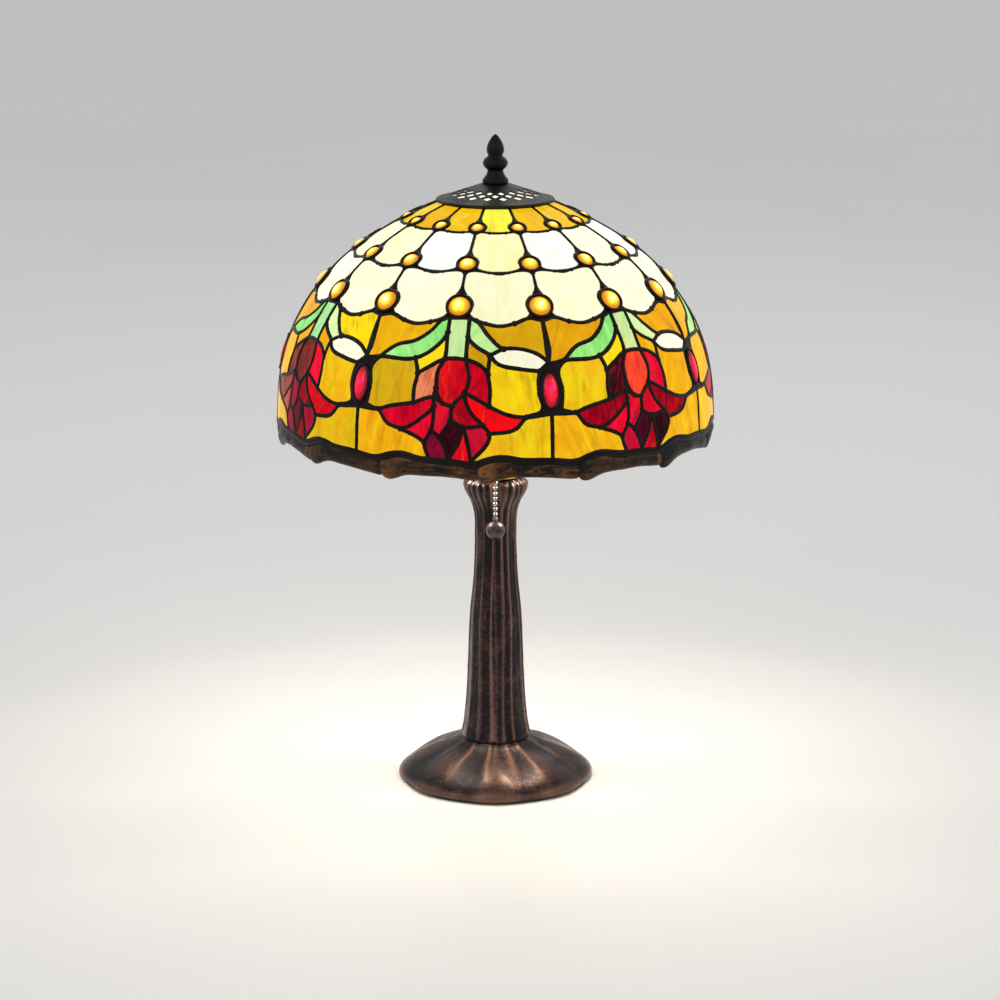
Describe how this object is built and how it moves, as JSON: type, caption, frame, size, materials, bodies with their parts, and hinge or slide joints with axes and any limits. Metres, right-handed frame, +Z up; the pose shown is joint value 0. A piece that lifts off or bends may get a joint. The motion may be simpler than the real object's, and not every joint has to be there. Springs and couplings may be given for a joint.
{
  "type": "table lamp",
  "caption": "Table lamp with a domed leaded-glass tulip shade, vented cap and finial, fluted column on a flared foot, tilted bulb holders and a bead pull chain.",
  "frame": {"origin": "centre of the foot's underside, on the surface that the lamp stands on", "axes": "+Z up along the lamp's axis, -Y towards the side with the pull chain, +X to the right when seen from that side"},
  "size_m": [0.4054, 0.4058, 0.61],
  "materials": {
    "felt": "matt felt",
    "steel": "zinc plated",
    "iron": "raw casting",
    "bronze": "antique bronze with rubbed brown high spots",
    "rubber": "matt",
    "brass": "satin",
    "fibre": "matt",
    "porcelain": "glazed",
    "phenolic": "matt",
    "bulb_glass": "frosted, lit",
    "chain": "bright",
    "ball_bronze": "worn bronze",
    "amber_glass": "streaky amber art glass, lit from inside",
    "cream_glass": "opalescent cream, lit from inside",
    "green_glass": "streaky green",
    "crimson_glass": "rippled red",
    "ruby_glass": "rippled ruby",
    "maroon_glass": "dark maroon",
    "gem_glass": "pressed amber gem",
    "jewel_glass": "pressed magenta jewel",
    "lead": "dark patina on solder",
    "twig_metal": "hand-painted twig casting"
  },
  "bodies": {
    "stand": {"base_felt": "felt", "base_plate": "steel", "base_weight": "iron", "base_casting": "bronze", "cord_bushing": "rubber", "base_washer": "steel", "base_nut": "brass", "lower_pipe": "steel", "column": "bronze", "column_check_plate": "brass", "neck_tube": "bronze", "cluster_cup": "bronze", "cluster_cover": "bronze", "riser_coupling": "brass", "riser_rod": "steel", "cover_nut": "brass", "socket_nipples": "brass", "socket_caps": "brass", "socket_shells": "brass", "socket_insulators": "fibre", "socket_blocks": "porcelain", "screw_shells": "brass", "socket_contacts": "brass", "switch_case": "phenolic", "switch_spindle": "steel", "switch_spring": "steel", "chain_bell": "brass", "spider_nut": "brass", "shade_spider": "steel"},
    "bulb_left": {"bulb_base_left": "steel", "bulb_globe_left": "bulb_glass"},
    "bulb_right": {"bulb_base_right": "steel", "bulb_globe_right": "bulb_glass"},
    "lever": {"switch_lever": "brass"},
    "chain_inner": {"chain_inner_beads": "chain"},
    "chain_top": {"chain_top_bead": "chain"},
    "chain_second": {"chain_second_bead": "chain"},
    "chain_hanging": {"chain_beads": "chain", "chain_clasp": "chain", "chain_ball": "ball_bronze"},
    "cap": {"vented_cap": "bronze"},
    "finial": {"finial": "bronze"},
    "shade": {"crown_ring": "bronze", "glass_crown": "amber_glass", "glass_cream_upper": "cream_glass", "glass_cream_lower": "cream_glass", "gems": "gem_glass", "glass_amber_upper": "amber_glass", "glass_amber_middle": "amber_glass", "glass_amber_lower": "amber_glass", "glass_leaves": "green_glass", "glass_stems": "green_glass", "glass_buds": "cream_glass", "petals_crimson": "crimson_glass", "petals_ruby": "ruby_glass", "petals_maroon": "maroon_glass", "jewels": "jewel_glass", "lead_upper": "lead", "lead_band": "lead", "twig_border": "twig_metal"}
  },
  "joints": [
    {"name": "chain_pull", "type": "slide", "parent": "stand", "child": "chain_top", "axis": [0, 0, -1], "range_m": [0, 0.008], "stiffness_N_per_m": 300, "springref_m": -0.004},
    {"name": "chain_fore_aft", "type": "hinge", "parent": "chain_top", "child": "chain_second", "pos_m": [0, -0.0431, 0.344], "axis": [1, 0, 0], "range_deg": [-40, 8]},
    {"name": "chain_side", "type": "hinge", "parent": "chain_second", "child": "chain_hanging", "pos_m": [0, -0.0431, 0.3391], "axis": [0, 1, 0], "range_deg": [-40, 40]},
    {"name": "chain_inner_slide", "type": "slide", "parent": "stand", "child": "chain_inner", "axis": [0, -1, 0], "range_m": [0, 0.008]},
    {"name": "lever_turn", "type": "hinge", "parent": "stand", "child": "lever", "pos_m": [0, -0.0175, 0.346], "axis": [1, 0, 0], "range_deg": [0, 60.2]},
    {"name": "bulb_left_turn", "type": "hinge", "parent": "stand", "child": "bulb_left", "pos_m": [-0.022, 0, 0.347], "axis": [-0.766, 0, 0.6428], "continuous": true},
    {"name": "bulb_right_turn", "type": "hinge", "parent": "stand", "child": "bulb_right", "pos_m": [0.022, 0, 0.347], "axis": [0.766, 0, 0.6428], "continuous": true},
    {"name": "cap_lift", "type": "slide", "parent": "stand", "child": "cap", "axis": [0, 0, 1], "range_m": [0, 0.27]},
    {"name": "shade_turn", "type": "hinge", "parent": "cap", "child": "shade", "pos_m": [0, 0, 0.547], "axis": [0, 0, 1], "continuous": true},
    {"name": "finial_turn", "type": "hinge", "parent": "cap", "child": "finial", "pos_m": [0, 0, 0.58], "axis": [0, 0, 1], "continuous": true}
  ],
  "couplings": [
    {"joint": "lever_turn", "follows": "chain_pull", "rad_per_m": 130.9},
    {"joint": "chain_inner_slide", "follows": "chain_pull", "ratio": 1}
  ]
}
